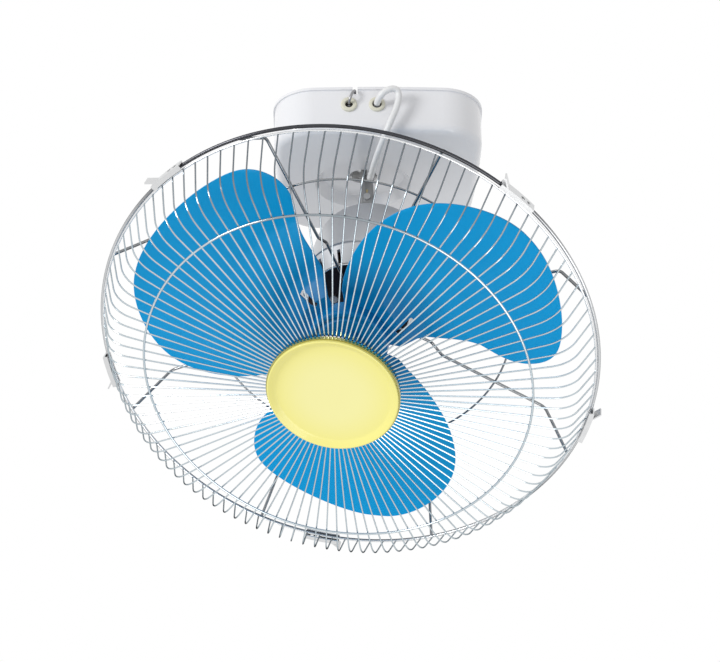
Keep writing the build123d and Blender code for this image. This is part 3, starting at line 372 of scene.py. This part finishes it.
def rounded(points, radii, step=18.0):
    """A planar polyline with each inner corner rounded to its radius by an arc."""
    path = [np.array(points[0], float)]
    for before, corner, after, radius in zip(points, points[1:], points[2:], radii):
        p, c, n = (np.array(q, float) for q in (before, corner, after))
        u = (p - c) / np.linalg.norm(p - c)
        v = (n - c) / np.linalg.norm(n - c)
        half = math.acos(max(-1.0, min(1.0, float(u @ v)))) / 2
        reach = radius / math.tan(half)
        centre = c + (u + v) / np.linalg.norm(u + v) * radius / math.sin(half)
        first = c + u * reach - centre
        last = c + v * reach - centre
        turn = math.pi - 2 * half
        count = max(2, int(math.degrees(turn) / step) + 1)
        for i in range(count + 1):
            t = i / count
            a = math.sin((1 - t) * turn) / math.sin(turn)
            b = math.sin(t * turn) / math.sin(turn)
            path.append(centre + first * a + last * b)
    path.append(np.array(points[-1], float))
    return path


def wire(points, radius, sides=10):
    """A round wire swept along 3-D points, with flat ends."""
    pts = [Vector(p) for p in points]
    count = len(pts)
    rows = []
    normal = None
    for i, p in enumerate(pts):
        along = (pts[min(i + 1, count - 1)] - pts[max(i - 1, 0)]).normalized()
        if normal is None:
            normal = along.orthogonal().normalized()
        normal = (normal - along * normal.dot(along)).normalized()
        side = along.cross(normal)
        row = []
        for j in range(sides):
            a = 2 * math.pi * j / sides
            row.append(p + radius * (math.cos(a) * normal + math.sin(a) * side))
        rows.append(row)
    shape = Shape().grid(rows, wrap_columns=True)
    shape.faces.append(tuple(range(sides))[::-1])
    shape.faces.append(tuple(range((count - 1) * sides, count * sides)))
    return shape


def torus(radius, section, z, steps=240, sides=14):
    """A round ring about Z."""
    profile = []
    for j in range(sides):
        a = 2 * math.pi * j / sides
        profile.append((radius + section * math.cos(a), z + section * math.sin(a)))
    return lathe(profile, steps)


# Guard wires: a name ending in WIRE is the radius of a wire's section, and depths run along the
# fan axis from the rear rim, to the front for FRONT and to the rear for ARM and PLATE

RIM_RADIUS = 225.0
RIM_WIRE = 1.5
FRONT_RIM_RADIUS = 222.5
RING_WIRE = 0.95
FRONT_RIM_Z = -3.4
FRONT_RING_RADIUS = 170.7
REAR_RING_RADIUS = 146.5
FRONT_WIRE = 0.66
FRONT_WIRES = 108
FRONT_DEPTH = 44.5
FRONT_SHOULDER = 203.0
FRONT_BEND = 26.0
FRONT_CENTRE_DEPTH = 53.0
FRONT_START = 46.0
ARM_WIRE = 1.4
ARMS = 8
ARM_PHASE = 22.5
ARM_START = 34.0
ARM_START_DEPTH = 78.0
ARM_STEP_INNER = 77.0
ARM_STEP_OUTER = 90.0
ARM_STEP_DEPTH = 65.0
ARM_STEP_BEND = 6.0
ARM_SHOULDER = 199.0
ARM_SHOULDER_DEPTH = 55.0
ARM_SHOULDER_BEND = 9.0
PLATE_EDGE_RADIUS = 49.4
PLATE_EDGE_DEPTH = 80.1
PLATE_EDGE_WIRE = 0.7


def face_depth(radius):
    """Z of the front wires on the guard's slightly coned face."""
    slope = (FRONT_CENTRE_DEPTH - FRONT_DEPTH) / (FRONT_SHOULDER - FRONT_START)
    return -FRONT_DEPTH - slope * (FRONT_SHOULDER - radius)


def radial(points, radii):
    """A bent line in the plane of the fan axis and +X, as 3-D points."""
    return [(p[0], 0.0, p[1]) for p in rounded(points, radii, 9.0)]


wire_line = radial(
    [(FRONT_START, face_depth(FRONT_START)), (FRONT_SHOULDER, -FRONT_DEPTH),
     (FRONT_RIM_RADIUS, FRONT_RIM_Z)],
    [FRONT_BEND],
)
wire(wire_line, FRONT_WIRE).copies(FRONT_WIRES).make(
    "front_wires", chrome, "head", HEAD, ["front_guard_wires"], "guard_chrome"
)
torus(FRONT_RIM_RADIUS, RING_WIRE, FRONT_RIM_Z).make(
    "front_rim", lit_copy_chrome, "head", HEAD, ["front_guard_rim"], "guard_chrome"
)
torus(RIM_RADIUS, RIM_WIRE, 0.0).make(
    "rear_rim", rim_chrome_painted_reflection, "head", HEAD, ["rear_guard_rim"], "guard_chrome"
)
torus(FRONT_RING_RADIUS, RING_WIRE, face_depth(FRONT_RING_RADIUS) - FRONT_WIRE - RING_WIRE).make(
    "front_ring", chrome, "head", HEAD, ["front_guard_ring"], "guard_chrome"
)
ring_share = (REAR_RING_RADIUS - ARM_STEP_OUTER) / (ARM_SHOULDER - ARM_STEP_OUTER)
ring_seat = ARM_STEP_DEPTH + ring_share * (ARM_SHOULDER_DEPTH - ARM_STEP_DEPTH)
torus(REAR_RING_RADIUS, RING_WIRE, ring_seat + ARM_WIRE + RING_WIRE).make(
    "rear_ring", shaded_rear_chrome, "head", HEAD, ["rear_guard_ring"], "guard_chrome"
)
arm_line = radial(
    [(ARM_START, ARM_START_DEPTH), (ARM_STEP_INNER, ARM_START_DEPTH),
     (ARM_STEP_OUTER, ARM_STEP_DEPTH), (ARM_SHOULDER, ARM_SHOULDER_DEPTH), (RIM_RADIUS, 0)],
    [ARM_STEP_BEND, ARM_STEP_BEND, ARM_SHOULDER_BEND],
)
wire(arm_line, ARM_WIRE, 14).copies(ARMS, ARM_PHASE).make(
    "rear_arms", shaded_rear_chrome, "head", HEAD, ["rear_guard_arms"], "guard_chrome"
)
torus(PLATE_EDGE_RADIUS, PLATE_EDGE_WIRE, PLATE_EDGE_DEPTH, 120, 10).make(
    "plate_edge", lit_copy_chrome, "head", HEAD, slot="guard_chrome"
)


# Grommets: soft flanged rings in the housing's near wall, each with a near-black ring of painted
# shade round its line

GROMMET_RADIUS = 8.2
GROMMET_FLANGE = 2.5
GROMMET_NECK = 5.8
GROMMET_DROP = 20.0
HOUSING_WALL = 2.5
THROAT_BACK = -2.3
THROAT_FRONT = -1.2
THROAT_MOUTH = -0.6


def grommet(name, node, x, seat, bore, line_radius):
    """A flanged ring at its seat on the wall, and its throat between the bore and the line."""
    place = Matrix.Translation((x, seat, -GROMMET_DROP))
    about = ROW @ place @ Matrix.Rotation(math.pi / 2, 4, "X")
    profile = rounded(
        [(bore, 0.0), (bore, GROMMET_FLANGE), (GROMMET_RADIUS, GROMMET_FLANGE),
         (GROMMET_RADIUS, 0.0), (GROMMET_NECK, 0.0), (GROMMET_NECK, -HOUSING_WALL),
         (bore, -HOUSING_WALL)],
        [0.9, 1.6, 0.4, 0.3, 0.5],
    )
    ring = lathe([(float(r), float(z)) for r, z in profile], 72)
    ring.make(name, cream_rubber, "mount", about, [node], "grommet_cream")
    # The throat is painted shade: a near-black ring in the bore of a cream grommet.
    throat = [(line_radius, THROAT_BACK), (line_radius, THROAT_FRONT), (bore, THROAT_MOUTH),
              (bore, THROAT_BACK)]
    lathe(throat, 48).make(name + "_throat", throat_painted_shade, "mount", about, slot="grommet_cream")


grommet("left_grommet", "wire_grommet", -18.6, -112.67, 3.9, 1.5)
grommet("right_grommet", "cord_grommet", 9.6, -112.99, 4.6, 3.4)


# Badge: a shallow dish with a rolled lip, in the carried cup

BADGE_RADIUS = 57.6
BADGE_BACK = -55.3
BADGE_FACE = -56.1
BADGE_FACE_EDGE = (51.0, -55.9)
BADGE_LIP = (56.3, -59.7)
BADGE_LIP_OUTER = -59.6
BADGE_CENTRE = 10.0

badge_line = rounded(
    [(BADGE_CENTRE, BADGE_BACK), (BADGE_RADIUS, BADGE_BACK), (BADGE_RADIUS, BADGE_LIP_OUTER),
     BADGE_LIP, BADGE_FACE_EDGE, (BADGE_CENTRE, BADGE_FACE)],
    [0.4, 0.6, 0.8, 4.0], 12.0,
)
lathe(badge_line, 160, capped=True).make(
    "badge_face", badge_yellow, "head", HEAD, ["badge"], "badge_yellow"
)


# Blades: three twisted blades and their hub, as one moulding

BLADES = 3
BLADE_PHASE = -40.0
ROOT = 52.0
TIP_START = 175.0
TIP = 203.0
BLADE_HALF = 1.1
TIP_THINNED = 0.4
TIP_THICKNESS = 0.45
ROOT_DEPTH = 31.0
MID_DEPTH = 43.0
RISE = 26.0
CONE = math.tan(math.radians(14.04))
BEND_RADIUS = 80.0
HUB_RADIUS = 37.0
HUB_WALL = 2.4
HUB_FRONT = 17.0
HUB_REAR = 34.5
HUB_RIBS = 6
HUB_RIB_HALF = 0.9
HUB_RIB_RISE = 12.0
HUB_RIB_BITE = 0.5
HUB_BOSS_LENGTH = 40.0

# A blade's outline as shares of the way from root to tip, each with an angle in degrees
TRAILING = ((0.0, -57.5), (0.12, -53.0), (0.25, -48.5), (0.5, -40.0), (0.75, -29.0), (0.92, -15.0))
TIP_EDGE = ((0.99, -4.0), (0.99, 8.0), (0.96, 20.0), (0.93, 33.0))
LEADING = ((0.88, 41.5), (0.73, 47.0), (0.58, 47.5), (0.4, 44.0), (0.2, 44.0), (0.0, 45.5))

# Shares of the way from root to tip, each with its share of the full twist
TWIST = ((-0.025, 0.0), (0.06, 0.5), (0.11, 0.65), (0.45, 1.0))

# The blade's mesh: radii that part its runs besides the creases, rows in each run, rows in the
# tip, points across a side, turns in degrees of the points round an edge, and the largest share
# of the width that an edge may take
EXTRA_STOPS = (90.0, 150.0)
RUN_ROWS = (6, 6, 4, 6, 8, 8, 8)
TIP_ROWS = 40
ACROSS = 40
EDGE_TURNS = (30, 60, 90, 120, 150)
EDGE_SHARE = 0.45


def full_depth(radius, angle):
    """Z of a fully twisted blade, which is coned beyond its bend."""
    return MID_DEPTH + RISE * angle - CONE * max(0.0, radius - BEND_RADIUS)


def blade_depth(radius, angle):
    """Z of the blade's middle surface: it turns from the flat root into its full twist."""
    radii = [HUB_RADIUS - HUB_WALL]
    depths = [ROOT_DEPTH]
    for share, twist in TWIST:
        r = ROOT + share * (TIP - ROOT)
        radii.append(r)
        depths.append(ROOT_DEPTH + twist * (full_depth(r, angle) - ROOT_DEPTH))
    reach = TIP + 5.0
    radii.append(reach)
    depths.append(full_depth(reach, angle))
    return float(np.interp(radius, radii, depths))


def smooth_curve(points, steps=40):
    """A natural cubic spline through points, spaced by chord length."""
    p = np.array(points, float)
    knots = np.concatenate([[0.0], np.cumsum(np.linalg.norm(np.diff(p, axis=0), axis=1))])
    n = len(p)
    gap = np.diff(knots)
    system = np.eye(n)
    right = np.zeros_like(p)
    for i in range(1, n - 1):
        system[i, i - 1: i + 2] = (gap[i - 1], 2 * (gap[i - 1] + gap[i]), gap[i])
        right[i] = 6 * ((p[i + 1] - p[i]) / gap[i] - (p[i] - p[i - 1]) / gap[i - 1])
    bend = np.linalg.solve(system, right)
    out = []
    for i in range(n - 1):
        for s in np.linspace(0, 1, steps, endpoint=False):
            a, b = 1 - s, s
            lift = ((a ** 3 - a) * bend[i] + (b ** 3 - b) * bend[i + 1]) * gap[i] ** 2 / 6
            out.append(a * p[i] + b * p[i + 1] + lift)
    out.append(p[-1])
    return np.array(out)


def outline_angles():
    """Radius and angle along one blade's outline, from the trailing root to the leading root."""
    points = []
    for share, angle in TRAILING + TIP_EDGE + LEADING:
        r = ROOT + share * (TIP - ROOT)
        points.append((r * math.cos(math.radians(angle)), r * math.sin(math.radians(angle))))
    line = smooth_curve(points)
    return np.hypot(line[:, 0], line[:, 1]), np.arctan2(line[:, 1], line[:, 0])


def blade():
    """One blade with rounded edges, in rows from the hub to the tip."""
    radii, angles = outline_angles()
    peak = int(np.argmax(radii))
    first = radii[: peak + 1], angles[: peak + 1]
    last = radii[peak:][::-1], angles[peak:][::-1]
    inner = HUB_RADIUS - HUB_WALL / 2
    creases = [ROOT + share * (TIP - ROOT) for share, _ in TWIST]
    stops = sorted([inner, *creases, *EXTRA_STOPS, TIP_START])
    levels = []
    for a, b, count in zip(stops, stops[1:], RUN_ROWS):
        levels.extend(np.linspace(a, b, count, endpoint=False))
    top = radii[peak]
    levels.extend(top - (top - TIP_START) * (1 - np.linspace(0, 1, TIP_ROWS)) ** 2)
    rows = []
    for r in levels:
        start = np.interp(r, first[0], first[1])
        end = np.interp(r, last[0], last[1])
        half = min(BLADE_HALF / r, EDGE_SHARE * (end - start))
        ring = []
        for side in (1, -1):
            for s in np.linspace(0, 1, ACROSS):
                t = start + half + (end - start - 2 * half) * (s if side > 0 else 1 - s)
                ring.append((t, side * BLADE_HALF))
            edge = end if side > 0 else start
            for turn in EDGE_TURNS:
                reach = half * (1 - math.sin(math.radians(turn)))
                t = edge - side * reach
                ring.append((t, side * BLADE_HALF * math.cos(math.radians(turn))))
        thin = 1.0 if r < top - TIP_THINNED else TIP_THICKNESS
        rows.append([
            (r * math.cos(t), r * math.sin(t), blade_depth(r, t) + thin * lift) for t, lift in ring
        ])
    shape = Shape().grid(rows, wrap_columns=True)
    width = len(rows[0])
    shape.faces.append(tuple(range((len(rows) - 1) * width, len(rows) * width)))
    shape.faces.append(tuple(range(width))[::-1])
    return shape


def slot_cutter():
    """A bar with rounded ends, to cut the slot in the blade's root."""
    start, end = 39.5, 57.0
    low, high = 17.7, 23.3
    front, back = 10.0, 70.0
    edge = 1.1
    seam = (start + 5.0, low)
    corners = [(end, low), (end, high), (start, high), (start, low)]
    outline = rounded([seam, *corners, seam], [edge] * 4, 30.0)[:-1]
    rows = [[(p[0], p[1], z) for p in outline] for z in (front, back)]
    shape = Shape().grid(rows, wrap_columns=True)
    width = len(outline)
    shape.faces.append(tuple(range(width))[::-1])
    shape.faces.append(tuple(range(width, 2 * width)))
    return shape


def cut(mesh, cutter):
    """The mesh with the cutter taken out of it."""
    body = bpy.data.objects.new("cut_body", mesh)
    tool = bpy.data.objects.new("cut_tool", cutter)
    for obj in (body, tool):
        scene.collection.objects.link(obj)
    step = body.modifiers.new("cut", "BOOLEAN")
    step.operation = "DIFFERENCE"
    step.solver = "EXACT"
    step.object = tool
    graph = bpy.context.evaluated_depsgraph_get()
    result = bpy.data.meshes.new_from_object(body.evaluated_get(graph))
    for obj in (body, tool):
        bpy.data.objects.remove(obj)
    return result


def hub():
    """The hub's cup with a groove in its face, its boss on the shaft and ribs between them."""
    boss = 9.0
    shaft = 4.05
    groove_inner, groove_outer, groove = 27.5, 32.0, 1.0
    boss_rear = HUB_FRONT + HUB_BOSS_LENGTH
    inside = HUB_RADIUS - HUB_WALL
    floor = HUB_FRONT + HUB_WALL
    groove_floor = HUB_FRONT + groove
    outline = rounded(
        [(shaft, HUB_FRONT), (groove_inner, HUB_FRONT), (groove_inner + groove, groove_floor),
         (groove_outer - groove, groove_floor), (groove_outer, HUB_FRONT), (HUB_RADIUS, HUB_FRONT),
         (HUB_RADIUS, HUB_REAR), (inside, HUB_REAR), (inside, floor), (boss, floor),
         (boss, boss_rear), (shaft, boss_rear)],
        [0.4, 0.4, 0.4, 0.4, 3.0, 0.6, 0.6, 2.0, 1.5, 0.8],
    )
    shape = lathe([(float(r), float(z)) for r, z in outline], 144)
    box_faces = [(0, 1, 3, 2), (4, 6, 7, 5), (0, 4, 5, 1), (2, 3, 7, 6), (1, 5, 7, 3), (0, 2, 6, 4)]
    for i in range(HUB_RIBS):
        turn = Matrix.Rotation(2 * math.pi * i / HUB_RIBS, 3, "Z")
        corners = []
        for x in (boss - HUB_RIB_BITE, inside + HUB_RIB_BITE):
            for y in (-HUB_RIB_HALF, HUB_RIB_HALF):
                for z in (floor - HUB_RIB_BITE, HUB_FRONT + HUB_RIB_RISE):
                    corners.append(turn @ Vector((x, y, z)))
        shape.add(corners, box_faces)
    return shape


plain = Matrix.Identity(4)
one = cut(blade().mesh("one_blade", plain), slot_cutter().mesh("slot", plain))
rotor = Shape()
rotor.add([v.co for v in one.vertices], [tuple(p.vertices) for p in one.polygons])
rotor.copies(BLADES, BLADE_PHASE)
centre = hub()
rotor.add(centre.verts, centre.faces)
rotor.make("blades", blade_blue, "rotor", HEAD, ["fan_blades"], "blade_blue")
bpy.data.meshes.remove(one)


# Light, backdrop and output settings

WORLD_LIGHT = 0.60
WORLD_SEEN = 1.0
LAMPS_AIM = (0, -0.1, -0.25)

scene.view_settings.view_transform = "Standard"
world = bpy.data.worlds.new("studio")
scene.world = world
world.use_nodes = True
tree = world.node_tree
background = tree.nodes["Background"]
background.inputs["Color"].default_value = (1, 1, 1, 1)
path = tree.nodes.new("ShaderNodeLightPath")
seen = path.outputs["Is Camera Ray"]
for ray in ("Is Transmission Ray", "Is Glossy Ray"):
    either = tree.nodes.new("ShaderNodeMath")
    either.operation = "MAXIMUM"
    tree.links.new(seen, either.inputs[0])
    tree.links.new(path.outputs[ray], either.inputs[1])
    seen = either.outputs[0]
strength = tree.nodes.new("ShaderNodeMapRange")
strength.inputs["To Min"].default_value = WORLD_LIGHT
strength.inputs["To Max"].default_value = WORLD_SEEN
tree.links.new(seen, strength.inputs["Value"])
tree.links.new(strength.outputs["Result"], background.inputs["Strength"])


def lamp(name, at, size, watts):
    """A round lamp, placed in metres and aimed at the fan."""
    data = bpy.data.lights.new(name, "AREA")
    data.shape = "DISK"
    data.size = size
    data.energy = watts
    obj = bpy.data.objects.new(name, data)
    obj.location = at
    obj.rotation_euler = (Vector(LAMPS_AIM) - Vector(at)).to_track_quat("-Z", "Y").to_euler()
    scene.collection.objects.link(obj)


lamp("key", (-1.9, -1.6, -0.1), 0.9, 30)
lamp("low_fill", (0.4, -1.1, -1.9), 1.4, 15)
